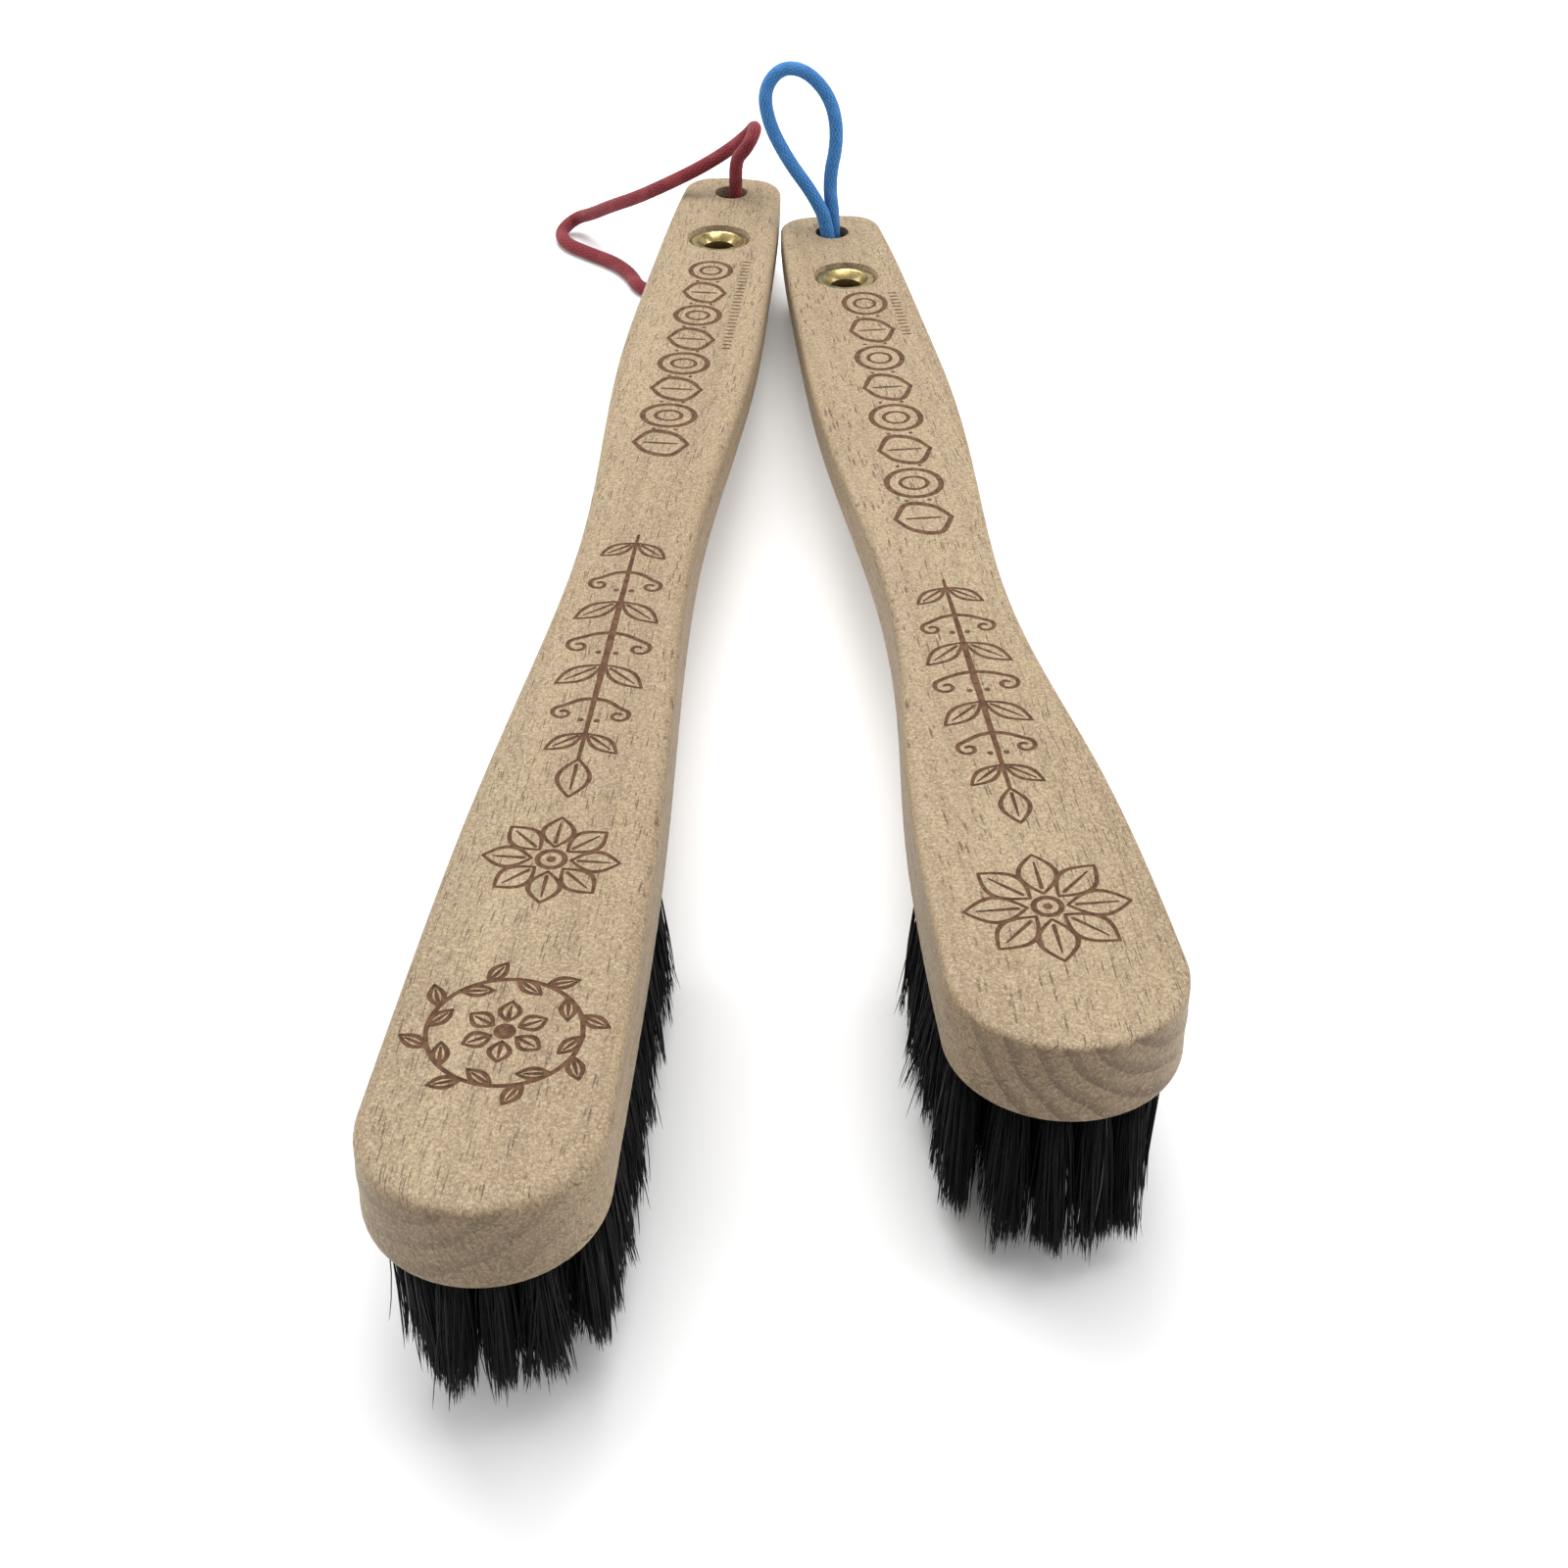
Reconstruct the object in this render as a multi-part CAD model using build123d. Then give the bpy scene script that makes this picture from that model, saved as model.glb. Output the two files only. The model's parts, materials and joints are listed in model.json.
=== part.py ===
from build123d import *
import os
from math import acos, atan2, cos, degrees, hypot, pi, radians, sin, sqrt, tan

# A pair of hand brushes lying side by side, handle ends together. Each one is a single
# piece of beech with bristle tufts anchored in blind holes, a brass insert let into the
# handle and an elastic cord loop, stopped under the handle by its own knot.
#
# Row frame, millimetres: +Z up, +Y from the heads to the handle ends, Z = 0 on the table.
# Brush frame: X across, Y along with the handle tip at 0 and the head at negative Y,
# Z = 0 on the underside of the wood.

# ---- wood ----
STOCK_THICKNESS = 13.5
SHOULDER_Z = 9.0             # the sides are upright above this height
UNDERSIDE_LEVELS = (0.0, 1.0, 3.0, 6.0)
HANDLE_ROUND = (6.0, 8.5)    # elliptical rounding under the handle: across, upwards
HEAD_ROUND = (1.0, 1.0)      # and under the head
ROUND_BLEND = (110.0, 195.0)  # distances from the tip between which one fades to the other
TIP_HALF_WIDTH = 10.8        # end of the handle, before its corners are rounded
TIP_BULGE = 2.0
TIP_CORNER_R = 7.0
TIP_UNDERCUT = 0.6           # share of the rounding at the very end of the handle
HEAD_END_LENGTH = 17.0       # the head ends in half an ellipse

# ---- cord hole and brass insert ----
CORD_HOLE_R = 3.7
CORD_HOLE_FROM_TIP = 10.0
RECESS_R = 7.0
RECESS_FLOOR_R = 6.3
RECESS_DEPTH = 1.6
INSERT_FLANGE_R = 6.1
INSERT_FLANGE_THICKNESS = 1.0
INSERT_BARREL_R = 4.9
INSERT_BORE_R = 3.2
INSERT_COUNTERSINK = 1.5
INSERT_CLEARANCE = 0.05

# ---- bristle tufts ----
TUFT_COLUMNS = 6
TUFT_PITCH = 4.8
FIRST_ROW_FROM_HEAD = 5.0
COLUMN_EDGE_MARGIN = 3.4     # centre of the outer column to the edge of the wood
COLUMN_ARC_MARGIN = 3.0      # sideways margin of the arc that the column fronts follow
TUFT_HOLE_R = 1.7
TUFT_HOLE_DEPTH = 8.5
TUFT_ROOT_R = 1.65
TUFT_TIP_R = 2.05
TUFT_END_GAP = 0.2
BRISTLE_LENGTH = 25.0        # from the wood to the trimmed ends
SPREAD_ACROSS = 3.5          # degrees that the outer columns lean outwards
SPREAD_FORWARD = 5.0         # degrees that the front tufts lean forwards
SPREAD_FADES_OVER = 22.0     # length of the head over which the forward lean fades out
FOLD_THICKNESS = 1.0         # bristle that passes over the anchor
ANCHOR_HALF_WIDTH = 1.66
ANCHOR_THICKNESS = 0.45
ANCHOR_HEIGHT = 1.5
ANCHOR_CLEARANCE = 0.05

# ---- cord ----
CORD_D = 3.0
KNOT_R = 4.3
KNOT_CENTRE_DEPTH = 2.4      # below the underside, half drawn into the hole

# Cord routes in the row frame. The large brush's cord rises out of its hole, folds over,
# drops off the left edge of the handle and comes back along the table to its knot.
LARGE_CORD_ROUTE = [
    (-13.0, 153.9, 4.6), (-12.7, 155.2, 21.0), (-12.6, 154.6, 28.6), (-10.4, 152.4, 31.9),
    (-8.4, 153.6, 35.2), (-8.2, 158.0, 35.2), (-9.8, 160.2, 32.0), (-14.6, 158.2, 28.8),
    (-21.0, 154.8, 26.2), (-27.8, 154.4, 22.8), (-35.6, 157.8, 17.4), (-42.4, 164.0, 12.0),
    (-47.4, 170.2, 6.8), (-51.6, 175.0, 3.4), (-55.4, 171.2, 1.6), (-53.8, 165.6, 1.5),
    (-47.6, 160.6, 1.5), (-41.4, 156.2, 1.5), (-37.2, 150.6, 1.5), (-35.0, 143.8, 1.5),
    (-28.0, 140.6, 1.5), (-20.6, 143.6, 1.6), (-16.2, 148.4, 2.4), (-14.6, 152.6, 3.6),
]
# The small brush's cord stands up in a loop with both legs in the hole.
SMALL_CORD_ROUTE = [
    (10.0, 136.6, 4.5), (9.7, 138.1, 21.5), (8.3, 139.6, 30.7), (10.3, 142.6, 39.6),
    (8.8, 145.2, 47.5), (3.4, 146.8, 53.3), (-2.4, 147.0, 54.0), (-6.2, 145.4, 49.4),
    (-5.0, 143.2, 42.5), (-0.6, 140.6, 35.0), (5.0, 137.6, 28.5), (8.6, 135.2, 21.8),
    (9.8, 133.4, 4.5),
]

# Half widths of the wood at distances from the handle tip: swell, neck and head.
LARGE = {
    "name": "large",
    "length": 330.0,
    "top_round": 2.0,
    "insert_from_tip": 36.0,
    "rear_row_from_tip": 243.0,
    "sides": [(22, 12.1), (60, 13.3), (92, 13.8), (132, 11.9), (170, 10.3),
              (205, 11.8), (248, 14.6), (285, 15.8)],
    "head_half_width": 16.3,
    "tip_xy": (-13.0, 164.05),
    "yaw": 4.75,
    "cord_route": LARGE_CORD_ROUTE,
}
SMALL = {
    "name": "small",
    "length": 282.0,
    "top_round": 1.1,
    "insert_from_tip": 34.0,
    "rear_row_from_tip": 226.5,
    "sides": [(22, 12.1), (60, 13.3), (92, 13.8), (130, 12.0), (168, 10.3),
              (190, 11.7), (219, 15.0), (245, 16.5)],
    "head_half_width": 16.9,
    "tip_xy": (8.2, 145.05),
    "yaw": -6.5,
    "cord_route": SMALL_CORD_ROUTE,
}


def underside_inset(distance, z):
    """How far the wood is rounded in from its widest outline at a height."""
    start, end = ROUND_BLEND
    share = min(max((distance - start) / (end - start), 0), 1)
    share = share * share * (3 - 2 * share)
    across = HANDLE_ROUND[0] + share * (HEAD_ROUND[0] - HANDLE_ROUND[0])
    upwards = HANDLE_ROUND[1] + share * (HEAD_ROUND[1] - HANDLE_ROUND[1])
    below = max(0, 1 - z / upwards)
    return across * (1 - sqrt(1 - below ** 2))


def wood_outline(brush, z=SHOULDER_Z):
    """Closed plan outline of the wood at a height."""
    tip_inset = underside_inset(0, z)
    head_inset = underside_inset(brush["length"], z)
    tip_y = -TIP_UNDERCUT * tip_inset
    head_end_y = HEAD_END_LENGTH - brush["length"]
    head_x = brush["head_half_width"] - head_inset
    right = [(TIP_HALF_WIDTH - tip_inset, tip_y - TIP_BULGE)]
    right += [(half - underside_inset(distance, z), -distance)
              for distance, half in brush["sides"]]
    right += [(head_x, head_end_y)]
    left = [(-x, y) for x, y in right]
    outline = Wire([
        ThreePointArc(left[0], (0, tip_y), right[0]),
        Spline(*right),
        EllipticalCenterArc((0, head_end_y), head_x, HEAD_END_LENGTH - head_inset, 180,
                            arc_size=180),
        Spline(*reversed(left)),
    ])
    face = Face(outline)
    tip_corners = face.vertices().sort_by(Axis.Y)[-2:]
    return Pos(0, 0, z) * fillet(tip_corners, TIP_CORNER_R - tip_inset / 2)


def side_half_width(brush, distance):
    """Half width of the wood at a distance from the handle tip, head end left out."""
    stations = brush["sides"] + [(brush["length"], brush["head_half_width"])]
    for (d0, w0), (d1, w1) in zip(stations, stations[1:]):
        if d0 <= distance <= d1:
            return w0 + (w1 - w0) * (distance - d0) / (d1 - d0)
    return w1


def column_front(brush, fraction):
    """Distance from the handle tip to a column's first tuft, inside the rounded end."""
    head = brush["head_half_width"]
    across = fraction * (head - COLUMN_EDGE_MARGIN) / (head - COLUMN_ARC_MARGIN)
    reach = (HEAD_END_LENGTH - FIRST_ROW_FROM_HEAD) * sqrt(1 - across ** 2)
    return brush["length"] - HEAD_END_LENGTH + reach


def tuft_places(brush):
    """Locations of the tufts, one list for each column along the head."""
    columns = []
    for number in range(TUFT_COLUMNS):
        fraction = 2 * number / (TUFT_COLUMNS - 1) - 1
        front = column_front(brush, fraction)
        column_length = front - brush["rear_row_from_tip"]
        gaps = round(column_length / TUFT_PITCH)
        column = []
        for tuft_number in range(gaps + 1):
            from_front = tuft_number * column_length / gaps
            reach = side_half_width(brush, front - from_front) - COLUMN_EDGE_MARGIN
            forward = SPREAD_FORWARD * max(0, 1 - from_front / SPREAD_FADES_OVER)
            column.append(Pos(fraction * reach, from_front - front)
                          * Rot(-forward, 0, 0) * Rot(0, -SPREAD_ACROSS * fraction, 0))
        columns.append(column)
    return columns


def wood_stock(brush):
    """One-piece wooden stock: handle, neck and head with all of its holes."""
    shoulder = wood_outline(brush)
    upper = extrude(shoulder, amount=STOCK_THICKNESS - SHOULDER_Z, dir=(0, 0, 1))
    upper = fillet(upper.edges().group_by(Axis.Z)[-1], brush["top_round"])
    lower = loft([wood_outline(brush, z) for z in UNDERSIDE_LEVELS] + [shoulder])
    stock = lower + upper
    insert_y = -brush["insert_from_tip"]
    cutters = [
        Pos(0, -CORD_HOLE_FROM_TIP, 0) * Cylinder(CORD_HOLE_R, STOCK_THICKNESS * 3),
        Pos(0, insert_y, 0)
        * Cylinder(INSERT_BARREL_R + INSERT_CLEARANCE, STOCK_THICKNESS * 3),
        Pos(0, insert_y, STOCK_THICKNESS - RECESS_DEPTH / 2)
        * Cone(RECESS_FLOOR_R, RECESS_R, RECESS_DEPTH),
    ]
    for column in tuft_places(brush):
        cutters += [place * Cylinder(TUFT_HOLE_R, TUFT_HOLE_DEPTH * 2) for place in column]
    return stock.cut(*cutters)


def brass_insert(brush):
    """Flanged brass sleeve with a countersunk bore right through."""
    barrel_length = STOCK_THICKNESS - RECESS_DEPTH
    top = barrel_length + INSERT_FLANGE_THICKNESS
    sleeve = Pos(0, 0, barrel_length / 2) * Cylinder(INSERT_BARREL_R, barrel_length)
    sleeve += (Pos(0, 0, barrel_length + INSERT_FLANGE_THICKNESS / 2)
               * Cylinder(INSERT_FLANGE_R, INSERT_FLANGE_THICKNESS))
    sleeve -= Pos(0, 0, top / 2) * Cylinder(INSERT_BORE_R, top * 2)
    sleeve -= (Pos(0, 0, top - INSERT_COUNTERSINK / 2)
               * Cone(INSERT_BORE_R, INSERT_BORE_R + INSERT_COUNTERSINK, INSERT_COUNTERSINK))
    return Pos(0, -brush["insert_from_tip"], 0) * sleeve


def anchor_centre_z():
    return TUFT_HOLE_DEPTH - TUFT_END_GAP - FOLD_THICKNESS - ANCHOR_HEIGHT / 2


def tuft(place):
    """Folded bristle tuft: round root in its hole, flaring to ends trimmed level."""
    root_length = TUFT_HOLE_DEPTH - TUFT_END_GAP
    untrimmed = BRISTLE_LENGTH + TUFT_TIP_R
    flare = (TUFT_TIP_R - TUFT_ROOT_R) / BRISTLE_LENGTH
    solid = Pos(0, 0, root_length / 2) * Cylinder(TUFT_ROOT_R, root_length)
    solid += (Pos(0, 0, -untrimmed / 2)
              * Cone(TUFT_ROOT_R + flare * untrimmed, TUFT_ROOT_R, untrimmed))
    slot = Box(4 * TUFT_ROOT_R, ANCHOR_THICKNESS + 2 * ANCHOR_CLEARANCE,
               ANCHOR_HEIGHT + 2 * ANCHOR_CLEARANCE)
    solid -= Pos(0, 0, anchor_centre_z()) * slot
    trim = Pos(place.position.X, place.position.Y, -BRISTLE_LENGTH - BRISTLE_LENGTH / 2)
    return place * solid - trim * Box(BRISTLE_LENGTH, BRISTLE_LENGTH, BRISTLE_LENGTH)


def anchor():
    """Flat wire anchor that the tuft is folded over, driven across its hole."""
    return (Pos(0, 0, anchor_centre_z())
            * Box(2 * ANCHOR_HALF_WIDTH, ANCHOR_THICKNESS, ANCHOR_HEIGHT))


def knot():
    """Stopper knot in the cord under the handle."""
    return Pos(0, -CORD_HOLE_FROM_TIP, -KNOT_CENTRE_DEPTH) * Sphere(KNOT_R)


def cord(route):
    """Elastic cord along its route: straight runs joined by the largest arcs that fit."""
    points = [Vector(*point) for point in route]
    radii = []
    for before, corner, after in zip(points, points[1:], points[2:]):
        run_in, run_out = corner - before, after - corner
        half_turn = radians(run_in.get_angle(run_out)) / 2
        radii.append(0.45 * min(run_in.length, run_out.length) / tan(half_turn))
    path = FilletPolyline(*route, radius=radii)
    tube = sweep(Plane(path @ 0, z_dir=path % 0) * Circle(CORD_D / 2), path)
    print("cord length", round(path.length, 1), "radii", [round(r, 1) for r in radii])
    print("volume", round(tube.volume, 1), "section x length",
          round(pi * CORD_D ** 2 / 4 * path.length, 1))
    return tube


def resting_tilt(brush):
    """Angle at which the rear tuft ends and the knot both touch the table."""
    drop = BRISTLE_LENGTH - KNOT_CENTRE_DEPTH
    run = brush["rear_row_from_tip"] - TUFT_TIP_R - CORD_HOLE_FROM_TIP
    return acos(KNOT_R / hypot(drop, run)) - atan2(run, drop)


def resting_place(brush):
    """Location of the brush frame in the row frame."""
    tilt = resting_tilt(brush)
    knot_height = CORD_HOLE_FROM_TIP * sin(tilt) - KNOT_CENTRE_DEPTH * cos(tilt)
    x, y = brush["tip_xy"]
    return (Pos(x, y, KNOT_R - knot_height) * Rot(0, 0, -brush["yaw"])
            * Rot(-degrees(tilt), 0, 0))


def brush_nodes(brush):
    """All rigid pieces of one brush in the row frame, by node name."""
    name = brush["name"]
    resting = resting_place(brush)
    nodes = {
        f"{name}_stock": wood_stock(brush),
        f"{name}_insert": brass_insert(brush),
        f"{name}_cord_knot": knot(),
    }
    for number, column in enumerate(tuft_places(brush), start=1):
        nodes[f"{name}_tufts_{number}"] = Compound(
            [tuft(place) for place in column])
        nodes[f"{name}_anchors_{number}"] = Compound(
            [place * anchor() for place in column])
    placed = {node: resting * shape for node, shape in nodes.items()}
    placed[f"{name}_cord"] = cord(brush["cord_route"])
    return placed


os.makedirs("parts", exist_ok=True)
for brush in (LARGE, SMALL):
    print(brush["name"], "tilt", round(degrees(resting_tilt(brush)), 3))
    for node, shape in brush_nodes(brush).items():
        export_step(shape, f"parts/{node}.step")
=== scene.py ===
import json
from math import acos, atan2, cos, pi, radians, sin

import bmesh
import bpy
import numpy as np
from mathutils import Matrix, Vector
from mathutils.geometry import delaunay_2d_cdt


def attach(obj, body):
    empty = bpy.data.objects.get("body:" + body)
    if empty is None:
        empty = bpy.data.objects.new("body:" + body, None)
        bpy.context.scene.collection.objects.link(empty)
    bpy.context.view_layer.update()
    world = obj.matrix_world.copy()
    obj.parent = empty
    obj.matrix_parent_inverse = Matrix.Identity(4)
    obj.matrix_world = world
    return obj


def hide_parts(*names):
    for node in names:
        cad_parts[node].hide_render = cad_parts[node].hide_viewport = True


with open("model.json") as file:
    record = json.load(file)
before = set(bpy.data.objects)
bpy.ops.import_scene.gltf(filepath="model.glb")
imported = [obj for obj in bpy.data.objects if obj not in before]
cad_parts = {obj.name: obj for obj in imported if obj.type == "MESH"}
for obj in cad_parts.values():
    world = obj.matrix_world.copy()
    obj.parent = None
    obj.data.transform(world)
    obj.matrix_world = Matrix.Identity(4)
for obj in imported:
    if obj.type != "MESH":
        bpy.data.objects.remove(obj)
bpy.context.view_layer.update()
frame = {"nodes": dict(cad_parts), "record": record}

# Two beech hand brushes lying side by side. Each brush has a frame of its own, in
# millimetres: X across, Y along with the handle tip at 0 and the head at negative Y,
# Z = 0 on the underside of the wood. "From tip" is a distance along -Y.
MM = 0.001
SEED = 7

# ---- sizes repeated from the part ----
TOP_Z = 13.5
INSERT_FROM_TIP = {"large": 36.0, "small": 34.0}
BORE_LENGTH = 11.4
BARREL_LENGTH = 11.9
INSERT_TOP = 12.9
BORE_R = 3.2
COUNTERSINK = 1.5
BARREL_R = 4.9
FLANGE_R = 6.1
TUFT_ROOT_R = 1.65
TUFT_TIP_R = 2.05
BRISTLE_LENGTH = 25.0
CORD_D = 3.0
KNOT_CENTRE = (0.0, -10.0, -2.4)
LARGE_CORD_ROUTE = [
    (-13.0, 153.9, 4.6), (-12.7, 155.2, 21.0), (-12.6, 154.6, 28.6), (-10.4, 152.4, 31.9),
    (-8.4, 153.6, 35.2), (-8.2, 158.0, 35.2), (-9.8, 160.2, 32.0), (-14.6, 158.2, 28.8),
    (-21.0, 154.8, 26.2), (-27.8, 154.4, 22.8), (-35.6, 157.8, 17.4), (-42.4, 164.0, 12.0),
    (-47.4, 170.2, 6.8), (-51.6, 175.0, 3.4), (-55.4, 171.2, 1.6), (-53.8, 165.6, 1.5),
    (-47.6, 160.6, 1.5), (-41.4, 156.2, 1.5), (-37.2, 150.6, 1.5), (-35.0, 143.8, 1.5),
    (-28.0, 140.6, 1.5), (-20.6, 143.6, 1.6), (-16.2, 148.4, 2.4), (-14.6, 152.6, 3.6),
]
SMALL_CORD_ROUTE = [
    (10.0, 136.6, 4.5), (9.7, 138.1, 21.5), (8.3, 139.6, 30.7), (10.3, 142.6, 39.6),
    (8.8, 145.2, 47.5), (3.4, 146.8, 53.3), (-2.4, 147.0, 54.0), (-6.2, 145.4, 49.4),
    (-5.0, 143.2, 42.5), (-0.6, 140.6, 35.0), (5.0, 137.6, 28.5), (8.6, 135.2, 21.8),
    (9.8, 133.4, 4.5),
]
CORDS = {
    "large": {"route": LARGE_CORD_ROUTE, "length": 0.164},
    "small": {"route": SMALL_CORD_ROUTE, "length": 0.114},
}

# ---- camera ----
CAMERA_PLACE = (-0.0008, -0.3438, 0.2702)
CAMERA_PITCH = 40.72
CAMERA_ROLL = 0.338
LENS = 54.04
SENSOR = 36.0

# ---- studio, metres and watts ----
FLOOR_HALF = 3.0
SKY_STRENGTH = 0.62
LIGHT_TARGET = (0, 0, 0.02)
LIGHTS = [
    ("key", (-0.20, 0.70, 1.15), (0.9, 0.7), 14.0),
    ("top", (0.20, 0.10, 1.30), (0.8, 0.8), 8.0),
    ("left", (-1.10, 0.15, 0.45), (0.8, 0.5), 4.5),
    ("right", (1.10, 0.05, 0.45), (0.8, 0.5), 6.0),
]

# ---- surface detail, millimetres ----
STROKE_STEP = 0.35
STROKE_HALF = 0.36
GROOVE_DEPTH = 0.22
GROOVE_SHOULDER = 1.35       # flat ring of points just outside a groove, in half widths
FILL_SPACING = 3.0
SMOOTH_ANGLE = radians(32)
STRANDS_PER_TUFT = 190
STRAND_R = 0.11
TIP_SPREAD = 1.42            # bristle ends reach this share of the trimmed end's radius
CLUMPS = 9
TIP_LIFT = 0.25              # keeps splayed tips off the table
SHORTEST = 4.5               # the most that a bristle falls short of the trimmed end
BRISTLE_LEVELS = np.array([0.0, 0.3, 0.58, 0.8, 0.93, 1.0])
BRISTLE_TAPER = np.array([1.0, 1.0, 0.95, 0.85, 0.62, 0.12])
BRISTLE_THICKNESS = (0.75, 1.15)
HOLE_REACH = 1.2             # how far the drawn bristles start inside their hole
CLUMP_OFFSET = 0.66          # scatter of the clumps, in tip radii
CLUMP_PULL = (0.2, 0.85)
TIP_SCATTER = 0.10
STRAY_SHARE = 0.015
STRAY_REACH = 1.2
GREY_SHARE = 0.003
BOW = 0.28
BOW_UPWARD = 0.2             # share of the bow that may point along the bristle
BOW_OUTWARD = 0.42
GATHER_FROM = 5.0            # distance from the middle line where tips start to lean in
GATHER_OVER = 11.0
GATHER_BOW = 0.2
NOSE_LENGTH = 22.0
SIDE_GATHER = {"large": (-1, 6.2), "small": (1, 5.2)}   # worn side, and how far its tips lean in
NOSE_SHIFT = {"large": 2.3, "small": -2.0}              # shift of the foremost tips along Y
TIP_WEAR = {"large": 0.80, "small": 0.60}               # how unevenly the tips are worn
CORD_STEP = 0.13
CORD_SIDES = 48
BRAID_CELLS = 12
BRAID_CELL_LENGTH = 0.9
BRAID_RELIEF = 0.13
FLOOR_GAP = 0.02
FUZZ_PER_STEP = 1.6
FUZZ_R = 0.022
FUZZ_LENGTH = (0.25, 0.75)
FUZZ_ROOT = 0.93             # share of the cord's radius that a fibre starts at
FUZZ_LEAN = 0.7
FUZZ_SCATTER = 0.35
# Crown share of the stray fibres: they get most of the crowns' painted highlight.
FUZZ_SHADE = 0.8
FUZZ_FROM_END = 8            # steps at each end that carry no fibres
KNOT_LOBE = 0.95             # size of the trefoil that the knot follows
KNOT_RISE = 1.55
KNOT_STRAND_R = 1.36
KNOT_POINTS = 420
KNOT_STEP = 0.16
KNOT_SIDES = 28
KNOT_RELIEF = 0.12


def brush_matrix(name):
    """Placement of a brush's own frame in the row frame, from its insert's bore mount."""
    mounts = frame["record"]["mounts"]
    bore = next(m for m in mounts if m["name"] == f"{name}_insert_bore")
    up = Vector(bore["axis"]).normalized()
    turn = Matrix.Rotation(-atan2(up.x, up.y), 4, "Z") @ Matrix.Rotation(-acos(up.z), 4, "X")
    middle = Vector((0, -INSERT_FROM_TIP[name], BORE_LENGTH / 2)) * MM
    return Matrix.Translation(Vector(bore["pos_m"]) - turn @ middle) @ turn


PLACES = {name: brush_matrix(name) for name in ("large", "small")}


def new_object(name, mesh, brush, materials, matrix=None):
    """Adds a piece to the scene, riding on a brush. matrix places it in the row frame."""
    piece = bpy.data.objects.new(name, mesh)
    bpy.context.scene.collection.objects.link(piece)
    if matrix is not None:
        piece.matrix_world = matrix
    for material in materials:
        mesh.materials.append(material)
    bpy.context.view_layer.update()
    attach(piece, f"{brush}_brush")
    return piece


def mesh_from_arrays(name, points, quads, triangles=(), smooth=True):
    """Mesh from arrays of points in metres, quads and triangles."""
    mesh = bpy.data.meshes.new(name)
    points = np.asarray(points, np.float32)
    quads = np.asarray(quads, np.int32).reshape(-1, 4)
    triangles = np.asarray(triangles, np.int32).reshape(-1, 3)
    mesh.vertices.add(len(points))
    mesh.vertices.foreach_set("co", points.ravel())
    corners = np.concatenate([quads.ravel(), triangles.ravel()])
    mesh.loops.add(len(corners))
    mesh.loops.foreach_set("vertex_index", corners)
    totals = np.concatenate([np.full(len(quads), 4), np.full(len(triangles), 3)])
    starts = np.concatenate([[0], np.cumsum(totals)[:-1]]).astype(np.int32)
    mesh.polygons.add(len(totals))
    mesh.polygons.foreach_set("loop_start", starts)
    mesh.update(calc_edges=True)
    mesh.polygons.foreach_set("use_smooth", np.full(len(totals), smooth))
    mesh.validate()
    return mesh


# ---------------------------------------------------------------- materials
class Nodes:
    """Small helper that builds a material's node tree."""

    def __init__(self, name):
        self.material = bpy.data.materials.new(name)
        self.material.use_nodes = True
        self.tree = self.material.node_tree
        self.tree.nodes.clear()
        self.output = self.add("ShaderNodeOutputMaterial")
        self.shader = self.add("ShaderNodeBsdfPrincipled")
        self.link(self.shader.outputs["BSDF"], self.output.inputs["Surface"])

    def add(self, kind, **settings):
        node = self.tree.nodes.new(kind)
        for key, value in settings.items():
            setattr(node, key, value)
        return node

    def link(self, source, target):
        self.tree.links.new(source, target)

    def feed(self, socket, value):
        if isinstance(value, bpy.types.NodeSocket):
            self.link(value, socket)
        else:
            socket.default_value = value

    def surface(self, socket, value):
        """Feeds a socket of the shader with a value or another node's output."""
        self.feed(self.shader.inputs[socket], value)

    def place(self, scale=(1, 1, 1), shift=(0, 0, 0)):
        """The object's own coordinates in millimetres, scaled."""
        coordinates = self.add("ShaderNodeTexCoord")
        mapping = self.add("ShaderNodeMapping")
        self.link(coordinates.outputs["Object"], mapping.inputs["Vector"])
        mapping.inputs["Scale"].default_value = [value / MM for value in scale]
        mapping.inputs["Location"].default_value = shift
        return mapping.outputs["Vector"]

    def noise(self, vector, scale=1.0, detail=2.0, roughness=0.5, distortion=0.0):
        node = self.add("ShaderNodeTexNoise")
        self.feed(node.inputs["Vector"], vector)
        node.inputs["Scale"].default_value = scale
        node.inputs["Detail"].default_value = detail
        node.inputs["Roughness"].default_value = roughness
        node.inputs["Distortion"].default_value = distortion
        return node.outputs["Fac"]

    def math(self, operation, first, second=0.0, third=0.0, clamp=False):
        node = self.add("ShaderNodeMath", operation=operation, use_clamp=clamp)
        for socket, value in zip(node.inputs, (first, second, third)):
            self.feed(socket, value)
        return node.outputs[0]

    def spread(self, value, low, high, to_low=0.0, to_high=1.0):
        """Smooth step of a value between two limits."""
        node = self.add("ShaderNodeMapRange", interpolation_type="SMOOTHSTEP")
        self.feed(node.inputs["Value"], value)
        node.inputs["From Min"].default_value = low
        node.inputs["From Max"].default_value = high
        node.inputs["To Min"].default_value = to_low
        node.inputs["To Max"].default_value = to_high
        return node.outputs["Result"]

    def mix(self, share, first, second):
        node = self.add("ShaderNodeMix", data_type="RGBA")
        self.feed(node.inputs["Factor"], share)
        for socket, value in ((node.inputs[6], first), (node.inputs[7], second)):
            if isinstance(value, bpy.types.NodeSocket):
                self.link(value, socket)
            else:
                socket.default_value = (*value, 1)
        return node.outputs[2]

    def bump(self, height, distance, normal=None, strength=1.0):
        node = self.add("ShaderNodeBump")
        node.inputs["Strength"].default_value = strength
        node.inputs["Distance"].default_value = distance * MM
        self.feed(node.inputs["Height"], height)
        if normal is not None:
            self.link(normal, node.inputs["Normal"])
        return node.outputs["Normal"]


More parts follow.
